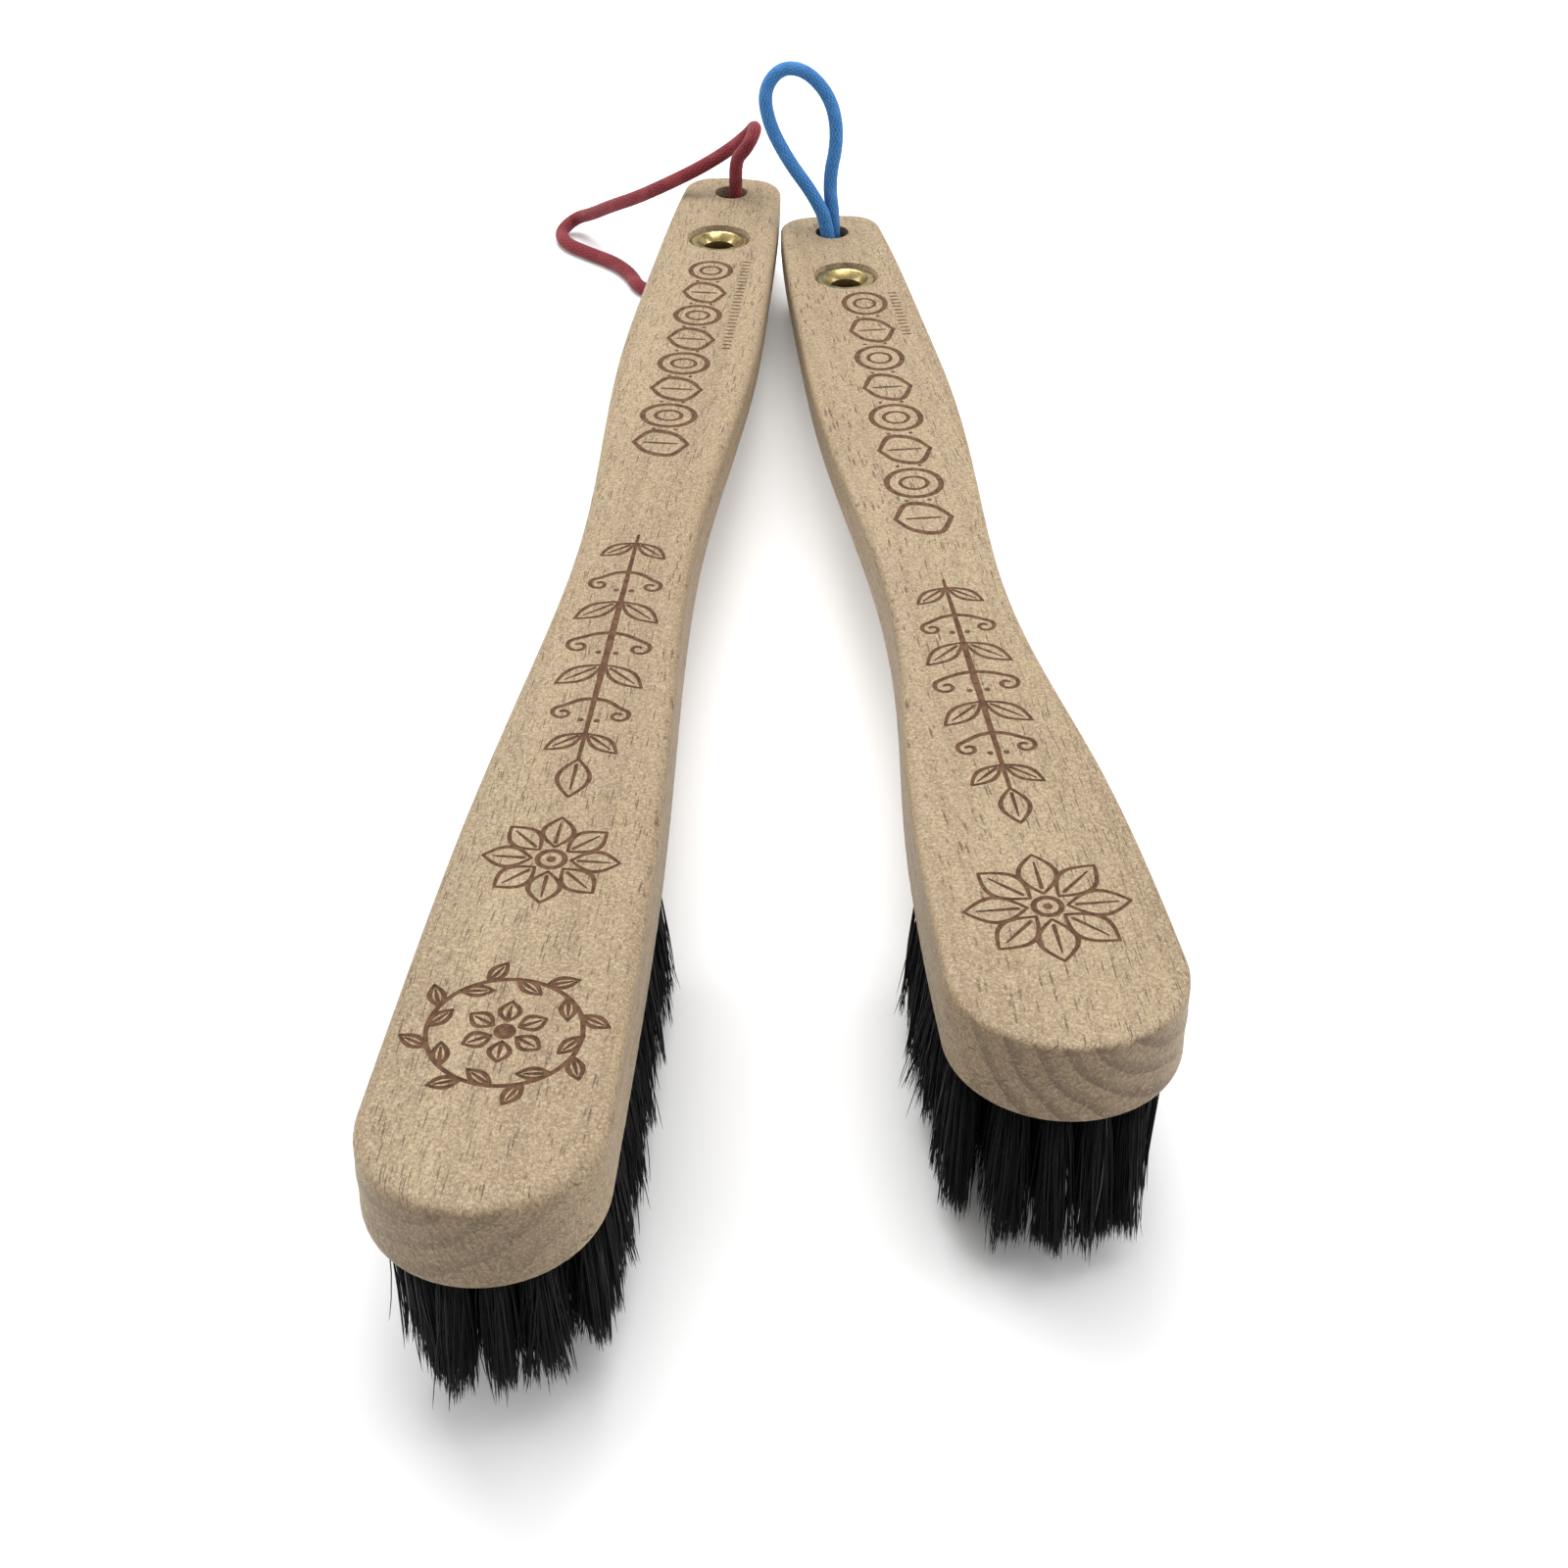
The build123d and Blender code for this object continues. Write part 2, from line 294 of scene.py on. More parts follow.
# Beech colours, linear light.
BEECH_PALE = (0.325, 0.244, 0.146)
BEECH_WARM = (0.262, 0.186, 0.106)
BEECH_LIGHT = (0.450, 0.365, 0.250)
BEECH_FLECK = (0.085, 0.050, 0.026)
BEECH_RING = (0.135, 0.089, 0.053)
BURN_DARK = (0.058, 0.025, 0.010)
BURN_BROWN = (0.132, 0.064, 0.028)
BRASS_BRIGHT = (0.62, 0.49, 0.22)
BRASS_TARNISH = (0.30, 0.22, 0.09)
# Near-black colours of the inside of the bore: painted shade of the deep bore, with the drill's marks.
BORE_DARK = (0.055, 0.040, 0.018)
BORE_LIGHT = (0.13, 0.095, 0.040)
STEEL_DARK = (0.42, 0.41, 0.40)
STEEL_LIGHT = (0.60, 0.60, 0.60)


def ray_flecks(n, angle, along, radius, mean_radius, density, stretch, chance_low):
    """Flecks of one length: thin lens-shaped cells, most of them left blank."""
    ray_vector = n.add("ShaderNodeCombineXYZ")
    n.link(n.math("MULTIPLY", angle, mean_radius * density), ray_vector.inputs[0])
    n.link(n.math("MULTIPLY", along, stretch), ray_vector.inputs[1])
    n.link(n.math("MULTIPLY", radius, 0.34), ray_vector.inputs[2])
    cells = n.add("ShaderNodeTexVoronoi")
    n.link(ray_vector.outputs[0], cells.inputs["Vector"])
    cells.inputs["Scale"].default_value = 1.0
    chance = n.add("ShaderNodeSeparateColor")
    n.link(cells.outputs["Color"], chance.inputs[0])
    return n.math("MULTIPLY", n.spread(cells.outputs["Distance"], 0.14, 0.40, 1.0, 0.0),
                  n.spread(chance.outputs[0], chance_low, chance_low + 0.18))


def beech(name, pith, ring_spacing, ring_contrast, shift):
    """Beech sawn along Y: growth rings round a pith line, rays and fine fibres."""
    n = Nodes(name)
    split = n.add("ShaderNodeSeparateXYZ")
    n.link(n.place(), split.inputs[0])
    waver = n.noise(n.place((0.02, 0.012, 0.02), shift), detail=1.0)
    across = n.math("SUBTRACT", n.math("MULTIPLY_ADD", waver, 6.0, split.outputs["X"]), pith[0])
    depth = n.math("SUBTRACT", split.outputs["Z"], pith[1])
    radius = n.math("SQRT", n.math("ADD", n.math("MULTIPLY", across, across),
                                   n.math("MULTIPLY", depth, depth)))
    angle = n.math("ARCTAN2", depth, across)

    # Late wood darkens towards each ring's outer edge and stops sharply there.
    ring_place = n.math("DIVIDE", radius, ring_spacing)
    wobble = n.noise(n.place((0.05, 0.004, 0.05), shift), detail=2.0)
    ring_place = n.math("MULTIPLY_ADD", wobble, 1.6, ring_place)
    ring_share = n.math("FRACT", ring_place)
    late = n.math("MULTIPLY", n.spread(ring_share, 0.35, 0.93),
                  n.spread(ring_share, 0.94, 1.0, 1.0, 0.0))

    # Rays: sheets that run outwards from the pith, seen as flecks along the grain.
    mean_radius = abs(complex(*pith))
    long_flecks = ray_flecks(n, angle, split.outputs["Y"], radius, mean_radius, 3.2, 0.17, 0.60)
    short_flecks = ray_flecks(n, angle, split.outputs["Y"], radius, mean_radius, 3.6, 0.42, 0.64)
    fleck = n.math("MAXIMUM", long_flecks, n.math("MULTIPLY", short_flecks, 0.75))

    # End grain shows on surfaces that face along Y.
    normal = n.add("ShaderNodeTexCoord")
    facing = n.add("ShaderNodeSeparateXYZ")
    n.link(normal.outputs["Normal"], facing.inputs[0])
    end_grain = n.spread(n.math("ABSOLUTE", facing.outputs["Y"]), 0.35, 0.85)

    fibre = n.noise(n.place((4.0, 0.09, 4.0), shift), detail=3.0, roughness=0.6)
    pores = n.noise(n.place((7.0, 1.6, 7.0), shift), detail=2.0, roughness=0.7)
    speck = n.noise(n.place((2.3, 2.0, 2.3), shift), detail=4.0, roughness=0.85)
    patch = n.noise(n.place((0.045, 0.012, 0.045), shift), detail=2.0)

    colour = n.mix(n.spread(patch, 0.3, 0.7, 0.0, 0.75), BEECH_PALE, BEECH_WARM)
    colour = n.mix(n.math("MULTIPLY", n.spread(fibre, 0.35, 0.75), 0.30), colour, BEECH_WARM)
    ring_strength = n.math("MULTIPLY_ADD", end_grain, ring_contrast, 0.20)
    colour = n.mix(n.math("MULTIPLY", late, ring_strength), colour, BEECH_RING)
    fleck_strength = n.math("MULTIPLY_ADD", end_grain, -0.45, 0.92)
    colour = n.mix(n.math("MULTIPLY", fleck, fleck_strength), colour, BEECH_FLECK)
    colour = n.mix(n.math("MULTIPLY", n.spread(pores, 0.56, 0.74), 0.30), colour, BEECH_RING)
    colour = n.mix(n.math("MULTIPLY", n.spread(speck, 0.50, 0.60), 0.62), colour, BEECH_RING)
    colour = n.mix(n.math("MULTIPLY", n.spread(speck, 0.48, 0.38), 0.70), colour, BEECH_LIGHT)
    # Faces along Y are darkened, unevenly with grit: partly the real darker end grain, partly painted
    # shade on the front faces of the heads.
    grit = n.noise(n.place((1.5, 1.5, 1.5), shift), detail=4.0, roughness=0.75)
    gritty = n.math("MULTIPLY", n.spread(grit, 0.42, 0.62), 0.45)
    end_grain_and_painted_shade = n.math("MULTIPLY", end_grain, n.math("ADD", gritty, 0.22))
    colour = n.mix(end_grain_and_painted_shade, colour, BEECH_RING)
    n.surface("Base Color", colour)

    rough = n.math("MULTIPLY_ADD", fibre, 0.16, 0.50)
    n.surface("Roughness", n.math("MULTIPLY_ADD", fleck, 0.12, rough))
    n.surface("Specular IOR Level", 0.35)
    height = n.math("MULTIPLY_ADD", fleck, -1.0, n.math("MULTIPLY", fibre, 0.7))
    height = n.math("MULTIPLY_ADD", pores, 0.5, height)
    n.surface("Normal", n.bump(height, 0.09))
    return n.material


def burnt_wood():
    """Scorched floor of the engraved lines: dark, uneven and dull."""
    n = Nodes("burnt_wood")
    tone = n.noise(n.place((1.1, 0.9, 1.1)), detail=3.0, roughness=0.65)
    fine = n.noise(n.place((6.0, 2.0, 6.0)), detail=2.0, roughness=0.7)
    colour = n.mix(n.spread(tone, 0.32, 0.66), BURN_DARK, BURN_BROWN)
    colour = n.mix(n.math("MULTIPLY", n.spread(fine, 0.5, 0.7), 0.3), colour, BEECH_RING)
    n.surface("Base Color", colour)
    n.surface("Roughness", n.math("MULTIPLY_ADD", fine, 0.2, 0.62))
    n.surface("Specular IOR Level", 0.25)
    n.surface("Normal", n.bump(fine, 0.08))
    return n.material


def brass():
    """Turned brass: lathe lines round the axis and light tarnish."""
    n = Nodes("turned_brass")
    split = n.add("ShaderNodeSeparateXYZ")
    n.link(n.place(), split.inputs[0])
    radius = n.math("SQRT", n.math("ADD", n.math("POWER", split.outputs["X"], 2.0),
                                   n.math("POWER", split.outputs["Y"], 2.0)))
    turned = n.add("ShaderNodeCombineXYZ")
    n.link(n.math("MULTIPLY", radius, 14.0), turned.inputs[0])
    n.link(n.math("MULTIPLY", split.outputs["Z"], 14.0), turned.inputs[1])
    lines = n.noise(turned.outputs[0], detail=1.0)
    tarnish = n.noise(n.place((0.45, 0.45, 0.45)), detail=4.0, roughness=0.6)
    colour = n.mix(n.spread(tarnish, 0.36, 0.66), BRASS_BRIGHT, BRASS_TARNISH)
    n.surface("Base Color", colour)
    n.surface("Metallic", 1.0)
    rough = n.math("MULTIPLY_ADD", tarnish, 0.22, 0.14)
    n.surface("Roughness", rough)
    n.surface("Normal", n.bump(lines, 0.012))
    return n.material


def dull_brass_painted_shade():
    """Unpolished inside of the sleeve, with a trace of the drill's spiral; its near-black colour is
    painted shade of the deep bore.
    """
    n = Nodes("bored_brass")
    marks = n.noise(n.place((0.8, 0.8, 5.0)), detail=3.0, roughness=0.6)
    n.surface("Base Color", n.mix(marks, BORE_DARK, BORE_LIGHT))
    n.surface("Metallic", 1.0)
    n.surface("Roughness", n.math("MULTIPLY_ADD", marks, 0.25, 0.38))
    n.surface("Normal", n.bump(marks, 0.03))
    return n.material


def steel_wire():
    """Drawn flat wire of the tuft anchors."""
    n = Nodes("anchor_steel")
    grain = n.noise(n.place((2.0, 9.0, 9.0)), detail=3.0)
    n.surface("Base Color", n.mix(grain, STEEL_DARK, STEEL_LIGHT))
    n.surface("Metallic", 1.0)
    n.surface("Roughness", n.math("MULTIPLY_ADD", grain, 0.25, 0.25))
    n.surface("Normal", n.bump(grain, 0.01))
    return n.material


def bristle(name, dark, light):
    """Stiff natural bristle: near black, with a low sheen that varies along it."""
    n = Nodes(name)
    shade = n.add("ShaderNodeAttribute", attribute_name="shade")
    along = n.noise(n.place((1.5, 1.5, 0.35)), detail=2.0)
    share = n.math("MULTIPLY", shade.outputs["Fac"], n.math("MULTIPLY_ADD", along, 0.9, 0.4))
    n.surface("Base Color", n.mix(share, dark, light))
    n.surface("Roughness", n.math("MULTIPLY_ADD", along, 0.2, 0.44))
    n.surface("Specular IOR Level", 0.16)
    n.surface("Normal", n.bump(along, 0.02))
    return n.material


def cord_fabric(name, painted_gap_shade, bright):
    """Braided yarn with painted light and shade: the colour is painted lighter on the crowns of the
    braid and darker in its gaps.
    """
    n = Nodes(name)
    crown = n.add("ShaderNodeAttribute", attribute_name="shade")
    yarn = n.noise(n.place((2.6, 2.6, 2.6)), detail=4.0, roughness=0.75)
    wear = n.noise(n.place((0.25, 0.25, 0.25)), detail=2.0)
    share = n.math("MULTIPLY", n.spread(crown.outputs["Fac"], 0.0, 0.9),
                   n.math("MULTIPLY_ADD", yarn, 2.6, -0.45), clamp=True)
    # Painted highlight on the braid's crowns and painted shade in its gaps, broken up by the yarn's
    # speckle.
    colour = n.mix(share, painted_gap_shade, bright)
    faded = tuple(min(1.0, value * 1.15 + 0.03) for value in bright)
    colour = n.mix(n.math("MULTIPLY", n.spread(wear, 0.45, 0.75), 0.35), colour, faded)
    n.surface("Base Color", colour)
    n.surface("Roughness", n.math("MULTIPLY_ADD", yarn, 0.15, 0.72))
    n.surface("Specular IOR Level", 0.2)
    n.surface("Sheen Weight", 0.12)
    n.surface("Sheen Roughness", 0.45)
    n.surface("Normal", n.bump(yarn, 0.10))
    return n.material


def floor_material():
    n = Nodes("studio_floor")
    n.surface("Base Color", (0.86, 0.86, 0.86, 1))
    n.surface("Roughness", 0.75)
    n.surface("Specular IOR Level", 0.15)
    return n.material


# ---------------------------------------------------------------- cords
def smooth_route(route):
    """Points of the smooth line of a route, read from its NURBS spline, in metres."""
    data = bpy.data.curves.new("route", "CURVE")
    data.dimensions = "3D"
    data.resolution_u = 24
    spline = data.splines.new("NURBS")
    spline.points.add(len(route) - 1)
    for point, place in zip(spline.points, route):
        point.co = (*(Vector(place) * MM), 1)
    spline.order_u = 3
    spline.use_endpoint_u = True
    holder = bpy.data.objects.new("route", data)
    bpy.context.scene.collection.objects.link(holder)
    line = bpy.data.meshes.new_from_object(holder)
    points = np.array([vertex.co for vertex in line.vertices])
    bpy.data.objects.remove(holder)
    bpy.data.curves.remove(data)
    bpy.data.meshes.remove(line)
    return points


def even_steps(points, step):
    """The same line with points an even distance apart."""
    gaps = np.linalg.norm(np.diff(points, axis=0), axis=1)
    keep = np.concatenate([[True], gaps > 1e-9])
    points = points[keep]
    along = np.concatenate([[0], np.cumsum(np.linalg.norm(np.diff(points, axis=0), axis=1))])
    wanted = np.linspace(0, along[-1], max(2, round(along[-1] / step) + 1))
    return np.stack([np.interp(wanted, along, points[:, axis]) for axis in range(3)], axis=1)


def carried_frames(points):
    """Tangent and two side directions at each point, carried along without twist."""
    tangents = np.gradient(points, axis=0)
    tangents /= np.linalg.norm(tangents, axis=1)[:, None]
    side = np.cross(tangents[0], (0.3, 0.5, 0.8))
    sides = []
    for tangent in tangents:
        side = side - tangent * (side @ tangent)
        side = side / np.linalg.norm(side)
        sides.append(side)
    sides = np.array(sides)
    return tangents, sides, np.cross(tangents, sides)


def braided_tube(points, radius, cells, cell_length, relief, sides, closed=False):
    """Tube round a line, with the over and under bumps of a round braid."""
    _, first, second = carried_frames(points)
    steps = np.linalg.norm(np.diff(points, axis=0), axis=1)
    along = np.concatenate([[0], np.cumsum(steps)])
    turn = np.arange(sides) * 2 * pi / sides
    around, distance = np.meshgrid(turn, along)
    climb = distance / (cell_length * MM)
    one = around * cells / (4 * pi) * 2 + climb / 2
    other = around * cells / (4 * pi) * 2 - climb / 2
    over = (np.floor(one) + np.floor(other)) % 2
    lane = np.where(over == 0, one % 1, other % 1)
    crown = 1 - (2 * lane - 1) ** 2
    reach = radius * MM + (crown - 0.75) * relief * MM
    if not closed:
        taper = np.minimum(along, along[-1] - along) / (radius * MM)
        reach = reach * np.sqrt(1 - (1 - np.clip(taper, 0.12, 1)) ** 2)[:, None]
    ring = (points[:, None] + reach[..., None]
            * (np.cos(around)[..., None] * first[:, None] + np.sin(around)[..., None] * second[:, None]))
    rings = len(points)
    row = np.arange(rings if closed else rings - 1)[:, None]
    column = np.arange(sides)[None, :]
    after = (row + 1) % rings
    beside = (column + 1) % sides
    quads = np.stack([row * sides + column, row * sides + beside,
                      after * sides + beside, after * sides + column], axis=-1)
    points_out = ring.reshape(-1, 3)
    # The crown shares become the shade attribute, which the cord material paints as highlight on the
    # crowns and shade in the gaps.
    shades = crown.ravel()
    caps = []
    if not closed:
        centres = np.array([points[0], points[-1]])
        for end, start in ((0, 0), (1, (rings - 1) * sides)):
            middle = len(points_out) + end
            loop = start + np.arange(sides)
            following = start + (np.arange(sides) + 1) % sides
            pair = (following, loop) if end == 0 else (loop, following)
            caps.append(np.stack([pair[0], pair[1], np.full(sides, middle)], axis=1))
        points_out = np.concatenate([points_out, centres])
        shades = np.concatenate([shades, [0, 0]])
    return points_out, quads.reshape(-1, 4), np.concatenate(caps) if caps else [], shades


def with_fuzz(tube, points, radius, count, rng):
    """Adds short stray fibres to the surface of a braided tube."""
    vertices, quads, triangles, shades = tube
    tangents, first, second = carried_frames(points)
    where = rng.integers(FUZZ_FROM_END, len(points) - FUZZ_FROM_END, count)
    turn = rng.uniform(0, 2 * pi, count)
    out = np.cos(turn)[:, None] * first[where] + np.sin(turn)[:, None] * second[where]
    root = points[where] + out * radius * MM * FUZZ_ROOT
    lean = tangents[where] * rng.normal(0, FUZZ_LEAN, count)[:, None] + out
    lean += rng.normal(0, FUZZ_SCATTER, (count, 3))
    lean /= np.linalg.norm(lean, axis=1)[:, None]
    tip = root + lean * (rng.uniform(*FUZZ_LENGTH, count) * MM)[:, None]
    across = np.cross(lean, out + tangents[where] * 0.5)
    across /= np.linalg.norm(across, axis=1)[:, None] + 1e-9
    other = np.cross(lean, across)
    thick = FUZZ_R * MM
    corners = [root + across * thick, root - across * thick * 0.5 + other * thick * 0.87,
               root - across * thick * 0.5 - other * thick * 0.87, tip]
    base = len(vertices)
    index = base + np.arange(count) * 4
    fibre_points = np.stack(corners, axis=1).reshape(-1, 3)
    faces = [(0, 1, 3), (1, 2, 3), (2, 0, 3), (0, 2, 1)]
    fibres = np.concatenate([np.stack([index + a, index + b, index + c], axis=1)
                             for a, b, c in faces])
    triangles = np.concatenate([np.asarray(triangles).reshape(-1, 3), fibres])
    return (np.concatenate([vertices, fibre_points]), quads, triangles,
            np.concatenate([shades, np.full(count * 4, FUZZ_SHADE)]))


def shaded_mesh(name, tube):
    vertices, quads, triangles, shades = tube
    mesh = mesh_from_arrays(name, vertices, quads, triangles)
    attribute = mesh.attributes.new("shade", "FLOAT", "POINT")
    attribute.data.foreach_set("value", np.asarray(shades, np.float32))
    return mesh


def make_cord(brush, material, rng):
    """The cord's braided tube and the stopper knot under the handle."""
    knot = make_knot(brush, material, rng)
    line = smooth_route(CORDS[brush]["route"])
    points = even_steps(line, CORD_STEP * MM)
    tube = braided_tube(points, CORD_D / 2, BRAID_CELLS, BRAID_CELL_LENGTH, BRAID_RELIEF,
                        CORD_SIDES)
    tube = with_fuzz(tube, points, CORD_D / 2, round(len(points) * FUZZ_PER_STEP), rng)
    tube[0][:, 2] = np.maximum(tube[0][:, 2], FLOOR_GAP * MM)  # it lies on the table
    piece = new_object(f"{brush}_braided_cord", shaded_mesh(f"{brush}_braided_cord", tube),
                       brush, [material])
    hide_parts(f"{brush}_cord")
    return piece


def make_knot(brush, material, rng):
    """Overhand knot pulled tight: the cord passes three times through itself."""
    turn = np.linspace(0, 2 * pi, KNOT_POINTS, endpoint=False)
    reach = 2 + np.cos(3 * turn)
    line = np.stack([KNOT_LOBE * reach * np.cos(2 * turn), KNOT_LOBE * reach * np.sin(2 * turn),
                     KNOT_RISE * np.sin(3 * turn)], axis=1)
    line = (line + np.array(KNOT_CENTRE)) * MM
    place = np.array(PLACES[brush])
    line = line @ place[:3, :3].T + place[:3, 3]
    closed_line = np.concatenate([line, line[:1]])
    points = even_steps(closed_line, KNOT_STEP * MM)[:-1]
    tube = braided_tube(points, KNOT_STRAND_R, BRAID_CELLS, BRAID_CELL_LENGTH, KNOT_RELIEF,
                        KNOT_SIDES, closed=True)
    piece = new_object(f"{brush}_stopper_knot", shaded_mesh(f"{brush}_stopper_knot", tube),
                       brush, [material])
    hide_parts(f"{brush}_cord_knot")
    return piece


# ---------------------------------------------------------------- camera and studio
def add_camera():
    pitch, roll = radians(CAMERA_PITCH), radians(CAMERA_ROLL)
    forward = Vector((0, cos(pitch), -sin(pitch)))
    level = Vector((1, 0, 0))
    upright = level.cross(forward)
    right = cos(roll) * level + sin(roll) * upright
    up = cos(roll) * upright - sin(roll) * level
    turn = Matrix((right, up, -forward)).transposed().to_4x4()
    data = bpy.data.cameras.new("camera")
    data.sensor_width = SENSOR
    data.lens = LENS
    data.clip_start = 0.01
    data.clip_end = 20
    camera = bpy.data.objects.new("camera", data)
    bpy.context.scene.collection.objects.link(camera)
    camera.matrix_world = Matrix.Translation(CAMERA_PLACE) @ turn
    bpy.context.scene.camera = camera


def area_light(name, place, size, watts):
    data = bpy.data.lights.new(name, "AREA")
    data.shape = "RECTANGLE"
    data.size, data.size_y = size
    data.energy = watts
    light = bpy.data.objects.new(name, data)
    bpy.context.scene.collection.objects.link(light)
    light.location = place
    light.rotation_mode = "QUATERNION"
    light.rotation_quaternion = (Vector(LIGHT_TARGET) - Vector(place)).to_track_quat("-Z", "Y")


def add_studio():
    half = FLOOR_HALF
    floor = bpy.data.meshes.new("floor")
    floor.from_pydata([(-half, -half, 0), (half, -half, 0), (half, half, 0), (-half, half, 0)],
                      [], [(0, 1, 2, 3)])
    floor.materials.append(floor_material())
    ground = bpy.data.objects.new("floor", floor)
    bpy.context.scene.collection.objects.link(ground)
    world = bpy.data.worlds.new("studio")
    bpy.context.scene.world = world
    world.use_nodes = True
    background = world.node_tree.nodes["Background"]
    background.inputs["Color"].default_value = (1, 1, 1, 1)
    background.inputs["Strength"].default_value = SKY_STRENGTH
    for light in LIGHTS:
        area_light(*light)
    bpy.context.scene.view_settings.view_transform = "Standard"


# ---------------------------------------------------------------- ornament
def spline_through(points, step=STROKE_STEP):
    """Smooth curve through points (Catmull-Rom), sampled evenly."""
    points = [np.array(p, float) for p in points]
    if len(points) == 2:
        fine = np.linspace(points[0], points[1], 12)
    else:
        padded = [2 * points[0] - points[1], *points, 2 * points[-1] - points[-2]]
        fine = []
        for a, b, c, d in zip(padded, padded[1:], padded[2:], padded[3:]):
            for t in np.linspace(0, 1, 12, endpoint=False):
                fine.append(0.5 * (2 * b + (c - a) * t + (2 * a - 5 * b + 4 * c - d) * t ** 2
                                   + (3 * b - a - 3 * c + d) * t ** 3))
        fine = np.array([*fine, points[-1]])
    along = np.concatenate([[0], np.cumsum(np.linalg.norm(np.diff(fine, axis=0), axis=1))])
    wanted = np.linspace(0, along[-1], max(3, round(along[-1] / step) + 1))
    return np.stack([np.interp(wanted, along, fine[:, axis]) for axis in (0, 1)], axis=1)


def curl(centre, start, sweep, outer, inner, count=9):
    """Points of a spiral in to its eye. Angles are in degrees, 90 towards the head."""
    share = np.linspace(0, 1, count)
    angle = np.radians(start + sweep * share)
    reach = outer + (inner - outer) * share ** 0.8
    return [(centre[0] + r * cos(a), centre[1] + r * sin(a)) for a, r in zip(angle, reach)]


class Ornament:
    """Engraved lines in the plane of the wood's top: across, and distance from the tip."""

    def __init__(self, start=0.0):
        self.strokes = []
        self.start = start

    def line(self, points, widths=(1.0, 1.0), mirrored=True):
        """A stroke whose half width follows the given shares of the usual one."""
        for side in ((1, -1) if mirrored else (1,)):
            path = spline_through([(side * x, s) for x, s in points])
            share = np.linspace(0, 1, len(path))
            width = np.interp(share, np.linspace(0, 1, len(widths)), widths) * STROKE_HALF
            self.strokes.append((path + (0, self.start), width))

    def dot(self, x, s, radius=0.5, mirrored=True):
        width = radius / STROKE_HALF
        self.line([(x, s - 0.05), (x, s + 0.05)], (width, width), mirrored)

    def ring(self, x, s, across, along, width=1.0, mirrored=True):
        turn = np.linspace(0, 2 * pi, 17)
        self.line([(x + across * cos(t), s + along * sin(t)) for t in turn],
                  (width, width), mirrored)


def leaf(o, foot, angle, length, width, mirrored=True):
    """Pointed leaf with a middle vein, growing from its foot."""
    x, y = cos(radians(angle)), sin(radians(angle))
    share = np.linspace(0, 1, 9)
    for side in (1, -1):
        bulge = side * width / 2 * np.sin(pi * share)
        o.line([(foot[0] + length * t * x - b * y, foot[1] + length * t * y + b * x)
                for t, b in zip(share, bulge)], (0.7, 1.1, 0.7), mirrored)
    o.line([(foot[0] + length * t * x, foot[1] + length * t * y) for t in (0.15, 0.45, 0.8)],
           (0.9, 0.8, 0.4), mirrored)


def vine(start, length, pairs=7):
    """Upright stem with pairs of leaves and of curled tendrils by turns, and a leaf on top."""
    o = Ornament(start)
    pitch = length / (pairs + 1)
    o.line([(0, 0), (0, length / 2), (0, length - pitch)], (0.8, 1.7, 0.9), mirrored=False)
    for number in range(pairs):
        foot = (number + 0.3) * pitch
        reach = 5.0 + 3.0 * sin(pi * (number + 1) / (pairs + 1))
        if number % 2:
            eye = (reach * 0.62, foot + pitch * 0.45)
            o.line([(0, foot), (reach * 0.3, foot + pitch * 0.05)]
                   + curl(eye, -90, 400, reach * 0.30, 0.5), (1.3, 1.1, 0.9))
            o.dot(reach * 0.18, foot + pitch * 0.62, 0.5)
        else:
            leaf(o, (0.3, foot), 42, reach * 1.15, reach * 0.48)
    leaf(o, (0, length - pitch), 90, pitch, pitch * 0.5, mirrored=False)
    return o.strokes


def rosette(start, outer, petals, eye=2.0):
    """Round flower: petals evenly spaced about a double ring."""
    o = Ornament(start + outer)
    for turn in np.arange(petals) * 360 / petals + 90:
        foot = ((eye + 0.9) * cos(radians(turn)), (eye + 0.9) * sin(radians(turn)))
        leaf(o, foot, turn, outer - eye - 0.9, outer * 0.46, mirrored=False)
    o.ring(0, 0, eye, eye, 1.2, mirrored=False)
    o.dot(0, 0, 0.7, mirrored=False)
    return o.strokes


def wreath(start, radius, leaves=16, ring_share=0.8):
    """Ring of leaves that lean along it alternately in and out, round a small flower."""
    o = Ornament(start + radius)
    o.ring(0, 0, radius * ring_share, radius * ring_share, 1.0, mirrored=False)
    for number, turn in enumerate(np.arange(leaves) * 360 / leaves):
        foot = (radius * ring_share * cos(radians(turn)), radius * ring_share * sin(radians(turn)))
        lean = 48 if number % 2 else 128
        leaf(o, foot, turn + lean, radius * 0.34, radius * 0.15, mirrored=False)
    return o.strokes + rosette(start + radius * 0.55, radius * 0.45, 6, 1.1)


